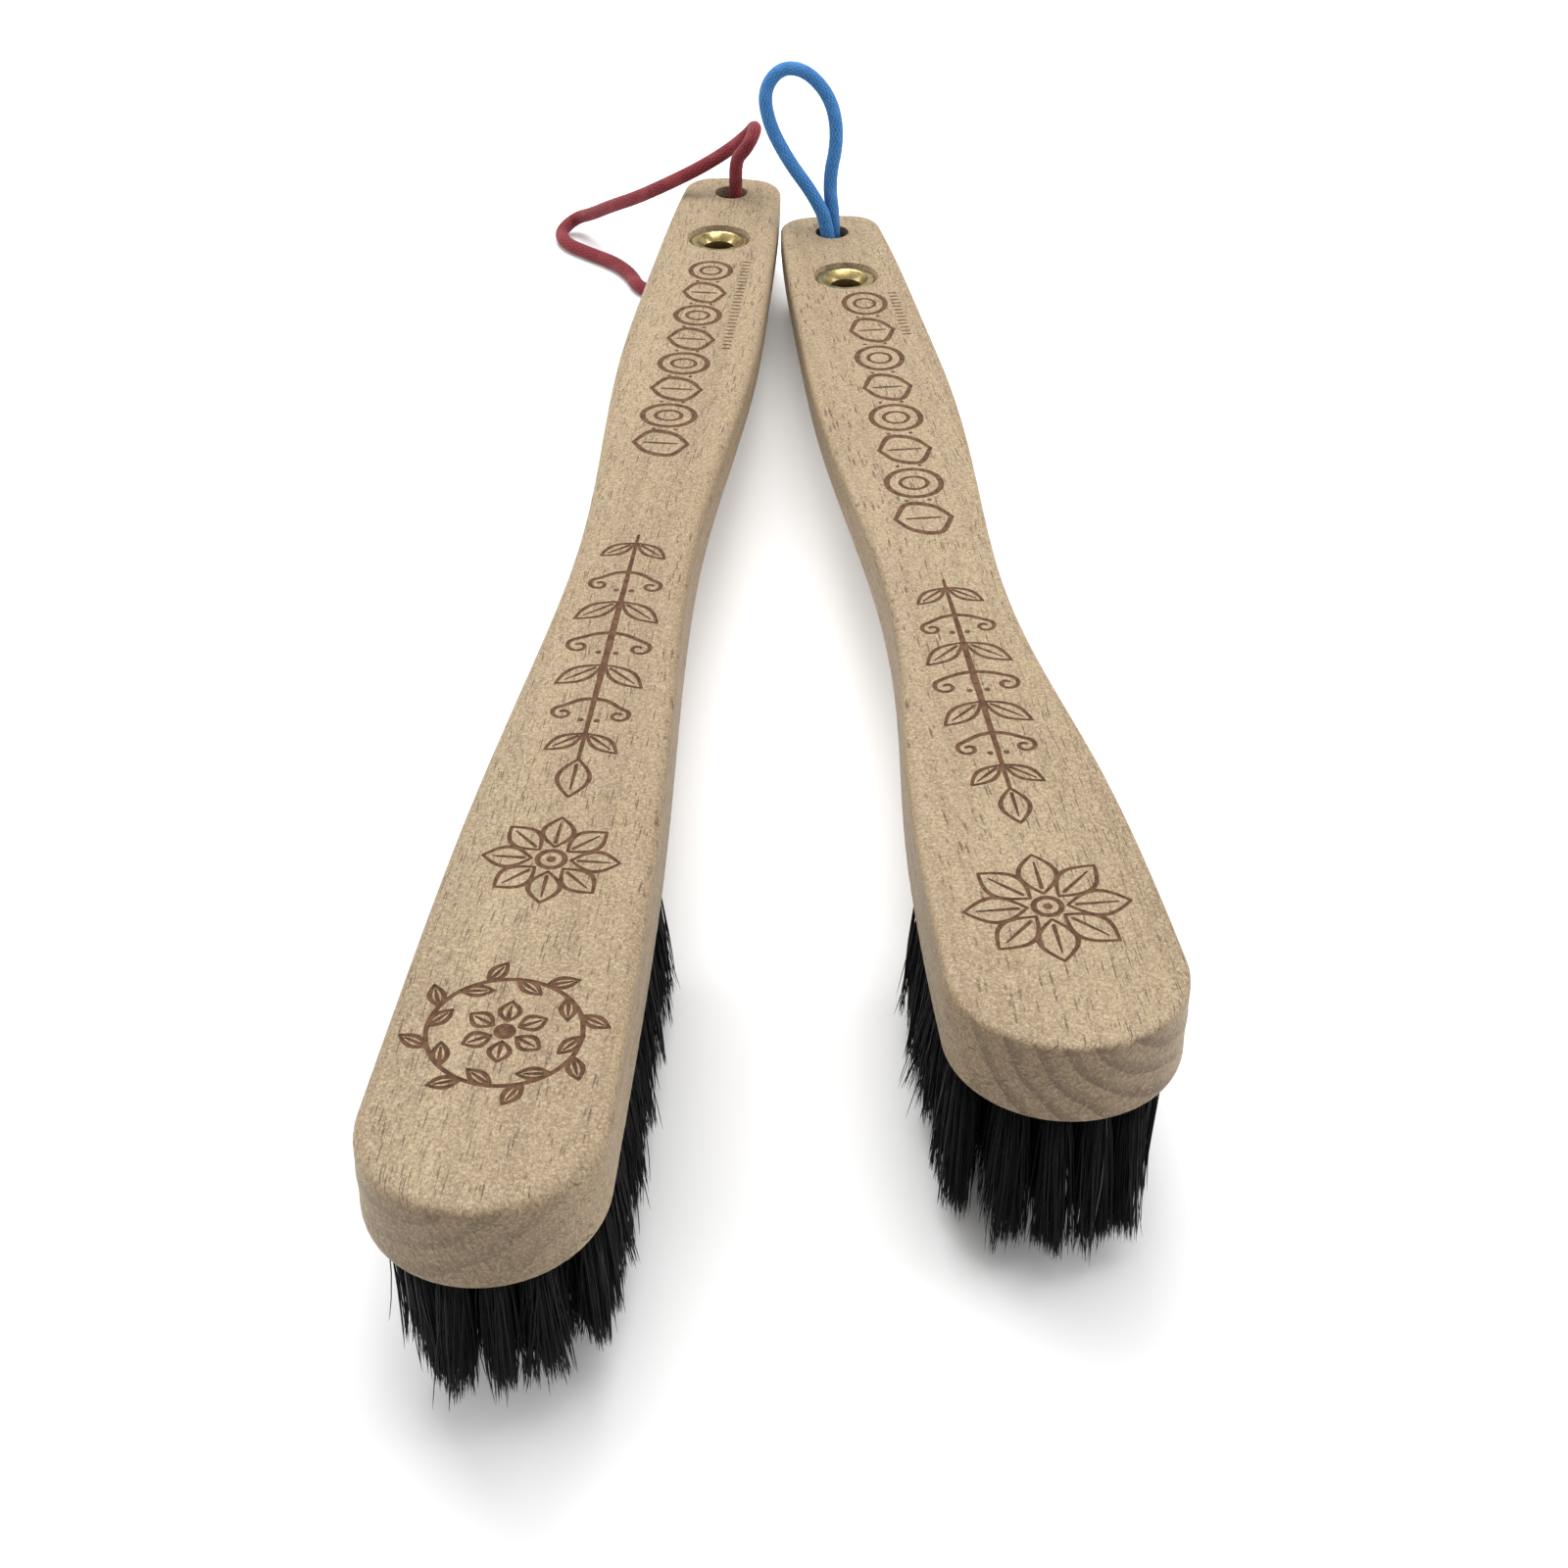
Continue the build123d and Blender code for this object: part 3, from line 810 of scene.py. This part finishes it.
def bead_chain(start, end, across_start, across_end, ticks_at, tick_range, count=8, tick_gap=1.7):
    """Row of rings and leaves along the handle, and a short row of ticks beside it."""
    pitch = (end - start) / count
    o = Ornament()
    for number in range(count):
        middle = start + (number + 0.5) * pitch
        x = across_start + (across_end - across_start) * (number + 0.5) / count
        long, wide = pitch * 0.40, 4.3 + number * 0.12
        if number % 2:
            for side in (1, -1):
                o.line([(x + side * wide, middle), (x + side * wide * 0.45, middle + side * long),
                        (x - side * wide * 0.45, middle + side * long * 0.8),
                        (x - side * wide, middle)], (1.1, 1.9, 1.1), mirrored=False)
            o.line([(x - wide * 0.6, middle), (x + wide * 0.6, middle)], (0.7, 1.1, 0.7),
                   mirrored=False)
        else:
            o.ring(x, middle, wide, long, 1.55, mirrored=False)
            o.ring(x, middle, wide * 0.5, long * 0.45, 1.05, mirrored=False)
        if number:
            for side in (-1, 1):
                o.dot(x + side * 2.1, start + number * pitch, 0.4, mirrored=False)
    for s in np.arange(*tick_range, tick_gap):
        o.line([(ticks_at - 0.7, s), (ticks_at + 0.7, s)], (0.7, 0.7), mirrored=False)
    return o.strokes


def ornament(brush):
    if brush == "large":
        return (bead_chain(48, 138, 0.2, -0.6, 7.4, (48.5, 92)) + vine(166.8, 78)
                + rosette(250, 10, 8) + wreath(284, 13))
    return (bead_chain(42, 147, 2.2, -0.1, 8.6, (44, 66)) + vine(162.2, 70)
            + rosette(240, 12, 8))


# ---------------------------------------------------------------- wood
def inside(points, loop):
    """Which points lie inside a closed loop."""
    x, y = points[:, 0][:, None], points[:, 1][:, None]
    x0, y0 = loop[:, 0][None], loop[:, 1][None]
    x1, y1 = np.roll(loop[:, 0], -1)[None], np.roll(loop[:, 1], -1)[None]
    crosses = (y0 > y) != (y1 > y)
    rise = np.where(y1 == y0, 1e-12, y1 - y0)
    return (crosses & (x < (x1 - x0) * (y - y0) / rise + x0)).sum(axis=1) % 2 == 1


def groove_share(points, strokes):
    """Distance to the nearest stroke's middle, as a share of its half width there."""
    best = np.full(len(points), 9.0)
    for path, width in strokes:
        low, high = path.min(0) - 2, path.max(0) + 2
        near = np.all((points > low) & (points < high), axis=1).nonzero()[0]
        if not len(near):
            continue
        start, run = path[:-1], np.diff(path, axis=0)
        offset = points[near][:, None] - start[None]
        share = np.clip((offset * run).sum(-1) / ((run ** 2).sum(-1) + 1e-12), 0, 1)
        gap = np.linalg.norm(offset - share[..., None] * run, axis=-1)
        local = width[:-1] + (width[1:] - width[:-1]) * share
        best[near] = np.minimum(best[near], (gap / local).min(axis=1))
    return best


def stroke_points(strokes):
    """Free points and outline chains of the engraved lines, for the triangulation."""
    free, chains = [], []
    for path, width in strokes:
        along = np.gradient(path, axis=0)
        along /= np.linalg.norm(along, axis=1)[:, None] + 1e-12
        side = np.stack([-along[:, 1], along[:, 0]], axis=1)
        free += [path, path + side * (0.5 * width)[:, None], path - side * (0.5 * width)[:, None]]
        shoulder = (width * GROOVE_SHOULDER)[:, None]
        free += [path + side * shoulder, path - side * shoulder]
        ends = []
        for end, sign in ((0, -1), (-1, 1)):
            turn = np.linspace(-pi / 2, pi / 2, 7)[1:-1]
            ends.append([path[end] + width[end] * (sign * cos(t) * along[end]
                                                   + sin(t) * side[end]) for t in turn])
        left = path + side * width[:, None]
        right = path - side * width[:, None]
        chains.append(np.concatenate([left, ends[1][::-1], right[::-1], ends[0]]))
    return np.concatenate(free), chains


def edge_loops(edges):
    """Closed chains of vertices from a set of boundary edges."""
    beside = {}
    for edge in edges:
        for vertex in edge.verts:
            beside.setdefault(vertex, []).append(edge)
    loops, left = [], set(edges)
    while left:
        edge = left.pop()
        loop = [edge.verts[0], edge.verts[1]]
        while True:
            onward = [e for e in beside[loop[-1]] if e in left]
            if not onward:
                break
            left.discard(onward[0])
            loop.append(onward[0].other_vert(loop[-1]))
        loops.append(loop[:-1] if loop[-1] is loop[0] else loop)
    return loops


def make_wood(brush, wood, burnt):
    """The wooden stock, with the ornament engraved in its flat top."""
    node = frame["nodes"][f"{brush}_stock"]
    to_brush = PLACES[brush].inverted()
    bm = bmesh.new()
    bm.from_mesh(node.data)
    bm.transform(Matrix.Diagonal((1 / MM, 1 / MM, 1 / MM, 1)) @ to_brush)
    bmesh.ops.remove_doubles(bm, verts=bm.verts, dist=0.002)
    top = [f for f in bm.faces if all(v.co.z > TOP_Z - 0.01 for v in f.verts)]
    top_set = set(top)
    rim = [e for e in {e for f in top for e in f.edges}
           if any(f not in top_set for f in e.link_faces)]
    loops = edge_loops(rim)
    loops.sort(key=len, reverse=True)
    outlines = [np.array([(v.co.x, -v.co.y) for v in loop]) for loop in loops]
    outer = max(outlines, key=lambda o: np.ptp(o[:, 1]))
    holes = [o for o in outlines if o is not outer]
    bmesh.ops.delete(bm, geom=top, context="FACES_ONLY")

    strokes = ornament(brush)
    free, chains = stroke_points(strokes)
    low, high = outer.min(0), outer.max(0)
    grid = np.stack(np.meshgrid(np.arange(low[0], high[0], FILL_SPACING),
                                np.arange(low[1], high[1], FILL_SPACING)), axis=-1)
    grid = grid.reshape(-1, 2)
    free = np.concatenate([free, grid[groove_share(grid, strokes) > 3]])
    shrunk = outer + (outer.mean(0) - outer) * 0.02
    keep = inside(free, shrunk)
    for hole in holes:
        keep &= np.linalg.norm(free - hole.mean(0), axis=1) > np.ptp(hole[:, 0]) / 2 + 0.4
    free = free[keep]

    points, edges, rim_vertices = [], [], []
    for loop, outline in zip(loops, outlines):
        first = len(points)
        points += [Vector(p) for p in outline]
        rim_vertices += loop
        edges += [(first + i, first + (i + 1) % len(outline)) for i in range(len(outline))]
    for chain in chains:
        first = len(points)
        points += [Vector(p) for p in chain]
        edges += [(first + i, first + (i + 1) % len(chain)) for i in range(len(chain))]
    points += [Vector(p) for p in free]
    flat, _, faces, sources, _, _ = delaunay_2d_cdt(points, edges, [], 0, 0.004)

    places = np.array([(p.x, p.y) for p in flat])
    depth = groove_share(places, strokes)
    corners = np.array([list(f) for f in faces])
    middles = places[corners].mean(axis=1)
    shown = inside(middles, outer)
    for hole in holes:
        shown &= ~inside(middles, hole)
    middle_share = groove_share(middles, strokes)
    made = {}
    for index, source in enumerate(sources):
        on_rim = [i for i in source if i < len(rim_vertices)]
        if on_rim:
            made[index] = rim_vertices[on_rim[0]]
    for index in np.unique(corners[shown]):
        if index not in made:
            z = TOP_Z - GROOVE_DEPTH * max(0.0, 1 - depth[index] ** 2) ** 0.5
            made[index] = bm.verts.new((places[index, 0], -places[index, 1], z))
    for triangle, is_shown, share in zip(corners, shown, middle_share):
        vertices = [made[i] for i in triangle] if is_shown else ()
        if len(set(vertices)) == 3 and bm.faces.get(vertices) is None:
            face = bm.faces.new(vertices)
            face.normal_update()
            if face.normal.z < 0:
                face.normal_flip()
            face.material_index = 1 if share < 1 else 0
    loose = [v for v in bm.verts if not v.link_faces]
    bmesh.ops.delete(bm, geom=loose, context="VERTS")
    bm.normal_update()
    for face in bm.faces:
        face.smooth = True
    for edge in bm.edges:
        edge.smooth = len(edge.link_faces) == 2 and edge.calc_face_angle(0) < SMOOTH_ANGLE
        groove = any(face.material_index for face in edge.link_faces)
        edge.smooth = edge.smooth or groove
    bm.transform(Matrix.Diagonal((MM, MM, MM, 1)))
    mesh = bpy.data.meshes.new(f"{brush}_engraved_stock")
    bm.to_mesh(mesh)
    bm.free()
    piece = new_object(mesh.name, mesh, brush, [wood, burnt], PLACES[brush])
    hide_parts(f"{brush}_stock")
    return piece


# ---------------------------------------------------------------- brass insert
def make_insert(brush, materials):
    """Flanged sleeve turned from one profile, with its edges softly broken."""
    edge = 0.14
    lip = BORE_R + COUNTERSINK
    profile = [(BORE_R + edge, 0), (BORE_R, edge), (BORE_R, INSERT_TOP - COUNTERSINK - 0.1),
               (BORE_R + 0.06, INSERT_TOP - COUNTERSINK), (lip - 0.12, INSERT_TOP - 0.12),
               (lip + 0.02, INSERT_TOP - 0.03), (lip + edge, INSERT_TOP),
               (FLANGE_R - 2.2 * edge, INSERT_TOP), (FLANGE_R - 0.9 * edge, INSERT_TOP - 0.3 * edge),
               (FLANGE_R - 0.3 * edge, INSERT_TOP - 0.9 * edge), (FLANGE_R, INSERT_TOP - 2 * edge),
               (FLANGE_R, BARREL_LENGTH + 0.05), (FLANGE_R - 0.05, BARREL_LENGTH),
               (BARREL_R, BARREL_LENGTH), (BARREL_R, edge), (BARREL_R - edge, 0)]
    sides = 128
    turn = np.arange(sides) * 2 * pi / sides
    rings = np.array([[(r * cos(t), r * sin(t), z) for t in turn] for r, z in profile]) * MM
    row = np.arange(len(profile))[:, None]
    column = np.arange(sides)[None, :]
    after, beside = (row + 1) % len(profile), (column + 1) % sides
    quads = np.stack([row * sides + column, after * sides + column,
                      after * sides + beside, row * sides + beside], axis=-1)
    mesh = mesh_from_arrays(f"{brush}_brass_insert", rings.reshape(-1, 3), quads.reshape(-1, 4))
    bm = bmesh.new()
    bm.from_mesh(mesh)
    bmesh.ops.recalc_face_normals(bm, faces=bm.faces)
    for edge_line in bm.edges:
        edge_line.smooth = edge_line.calc_face_angle(0) < radians(50)
    # Faces inside the bore take the second material, whose near-black colour is painted shade.
    for face in bm.faces:
        reach = max(v.co.xy.length for v in face.verts)
        face.material_index = 1 if reach < (BORE_R + 0.03) * MM else 0
    bm.to_mesh(mesh)
    bm.free()
    shift = Matrix.Translation(Vector((0, -INSERT_FROM_TIP[brush], 0)) * MM)
    piece = new_object(mesh.name, mesh, brush, materials, PLACES[brush] @ shift)
    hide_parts(f"{brush}_insert")


# ---------------------------------------------------------------- bristles
def tuft_axes(brush, node):
    """Root centre and trimmed end centre of each tuft in a node, in the brush frame."""
    bm = bmesh.new()
    bm.from_mesh(node.data)
    bm.transform(Matrix.Diagonal((1 / MM, 1 / MM, 1 / MM, 1)) @ PLACES[brush].inverted())
    bmesh.ops.remove_doubles(bm, verts=bm.verts, dist=0.002)
    seen, axes = set(), []
    for start in bm.verts:
        if start in seen:
            continue
        island, queue = [], [start]
        seen.add(start)
        while queue:
            vertex = queue.pop()
            island.append(vertex.co.copy())
            for edge in vertex.link_edges:
                other = edge.other_vert(vertex)
                if other not in seen:
                    seen.add(other)
                    queue.append(other)
        island = np.array(island)
        top = island[island[:, 2] > island[:, 2].max() - 0.4]
        end = island[island[:, 2] < island[:, 2].min() + 0.05]
        axes.append(((top.min(0) + top.max(0)) / 2, (end.min(0) + end.max(0)) / 2))
    bm.free()
    return sorted(axes, key=lambda pair: pair[0][1])


def tuft_paths(brush, root, end, front, rng):
    """Centre lines of one tuft's bristles, from inside their hole to the worn tips."""
    worn_side, gather = SIDE_GATHER[brush]
    outer_share = np.clip((worn_side * end[0] - GATHER_FROM) / GATHER_OVER, 0, 1)
    mouth = root + (end - root) * (root[2] / (root[2] - end[2]))
    start = mouth - (end - mouth) * (HOLE_REACH / BRISTLE_LENGTH)
    count = STRANDS_PER_TUFT
    spin = rng.uniform(0, 2 * pi, count)
    reach = np.sqrt(rng.uniform(0, 1, count))
    disc = np.stack([np.cos(spin) * reach, np.sin(spin) * reach, np.zeros(count)], axis=1)
    foot = start + disc * (TUFT_ROOT_R - STRAND_R)
    clumps = rng.normal(0, CLUMP_OFFSET, (CLUMPS, 3)) * (1, 1, 0)
    owner = rng.integers(0, CLUMPS, count)
    pull = rng.uniform(*CLUMP_PULL, count)[:, None]
    scatter = rng.normal(0, TIP_SCATTER, (count, 3))
    tip_disc = disc * (1 - pull) + clumps[owner] * pull + scatter
    tip = end + tip_disc * TUFT_TIP_R * TIP_SPREAD
    tip[:, 0] -= worn_side * gather * outer_share
    tip[:, 1] += NOSE_SHIFT[brush] * np.clip(1 - (end[1] - front) / NOSE_LENGTH, 0, 1)
    wear = TIP_WEAR[brush]
    short = np.abs(rng.normal(0, wear, count)) + rng.exponential(wear, CLUMPS)[owner]
    tip[:, 2] = end[2] + TIP_LIFT + np.minimum(short, SHORTEST)
    stray = rng.uniform(0, 1, count) < STRAY_SHARE
    tip[stray, :2] += rng.normal(0, STRAY_REACH, (stray.sum(), 2))
    bow = rng.normal(0, BOW, (count, 3)) * (1, 1, BOW_UPWARD) + disc * BOW_OUTWARD
    bow[:, 0] -= GATHER_BOW * worn_side * gather * outer_share
    share = BRISTLE_LEVELS[None, :, None]
    return (foot[:, None] * (1 - share) + tip[:, None] * share
            + bow[:, None] * (4 * share * (1 - share)))


def strand_mesh(name, path, shade, grey, rng):
    """Three-sided tapering strands along paths, with a shade and a colour slot for each."""
    count, rings = path.shape[:2]
    thickness = rng.uniform(*BRISTLE_THICKNESS, count) * STRAND_R
    spin = rng.uniform(0, 2 * pi, count)
    corner = spin[:, None] + np.arange(3)[None] * 2 * pi / 3
    offset = np.stack([np.cos(corner), np.sin(corner), np.zeros_like(corner)], axis=-1)
    reach = thickness[:, None, None, None] * BRISTLE_TAPER[None, :, None, None]
    points = path[:, :, None] + offset[:, None] * reach
    base = (np.arange(count) * rings * 3)[:, None, None]
    row = np.arange(rings - 1)[None, :, None] * 3
    side = np.arange(3)[None, None]
    following = (side + 1) % 3
    quads = np.stack([base + row + side, base + row + 3 + side,
                      base + row + 3 + following, base + row + following], axis=-1)
    top = np.stack([base[:, 0, 0] + k for k in (0, 1, 2)], axis=1)
    bottom = np.stack([base[:, 0, 0] + (rings - 1) * 3 + k for k in (2, 1, 0)], axis=1)
    mesh = mesh_from_arrays(name, points.reshape(-1, 3) * MM, quads.reshape(-1, 4),
                            np.concatenate([top, bottom]))
    attribute = mesh.attributes.new("shade", "FLOAT", "POINT")
    attribute.data.foreach_set("value", np.repeat(shade, rings * 3).astype(np.float32))
    slots = np.concatenate([np.repeat(grey, (rings - 1) * 3), grey, grey]).astype(np.int32)
    return mesh, slots


def make_bristles(brush, number, materials, rng):
    """One lengthwise column of tufts, every bristle a thin tapering strand."""
    node = f"{brush}_tufts_{number}"
    axes = tuft_axes(brush, frame["nodes"][node])
    front = min(end[1] for _, end in axes)
    paths, shades, greys = [], [], []
    for root, end in axes:
        paths.append(tuft_paths(brush, root, end, front, rng))
        shades.append(rng.uniform(0, 1, STRANDS_PER_TUFT) ** 2)
        greys.append(rng.uniform(0, 1, STRANDS_PER_TUFT) < GREY_SHARE)
    mesh, slots = strand_mesh(f"{brush}_bristles_{number}", np.concatenate(paths),
                              np.concatenate(shades), np.concatenate(greys), rng)
    piece = new_object(mesh.name, mesh, brush, materials, PLACES[brush])
    mesh.polygons.foreach_set("material_index", slots)
    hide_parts(node)


# ---------------------------------------------------------------- the object
def build():
    add_camera()
    rng = np.random.default_rng(SEED)
    red = cord_fabric("crimson_braid", (0.040, 0.004, 0.007), (0.245, 0.034, 0.042))
    blue = cord_fabric("blue_braid", (0.010, 0.052, 0.150), (0.055, 0.215, 0.510))
    make_cord("large", red, rng)
    make_cord("small", blue, rng)
    burnt = burnt_wood()
    make_wood("large", beech("beech_large", (-16.0, 46.0), 4.6, 0.36, (3.1, 5.7, 1.3)), burnt)
    make_wood("small", beech("beech_small", (24.0, 27.0), 3.9, 0.90, (8.4, 2.2, 6.6)), burnt)
    metals = [brass(), dull_brass_painted_shade()]
    steel = steel_wire()
    hairs = [bristle("black_bristle", (0.0022, 0.0022, 0.0032), (0.009, 0.0075, 0.0075)),
             bristle("grey_bristle", (0.10, 0.09, 0.08), (0.30, 0.28, 0.25))]
    for brush in ("large", "small"):
        make_insert(brush, metals)
        for number in range(1, 7):
            make_bristles(brush, number, hairs, rng)
            anchors = frame["nodes"][f"{brush}_anchors_{number}"]
            anchors.data.materials.clear()
            anchors.data.materials.append(steel)
    add_studio()


build()
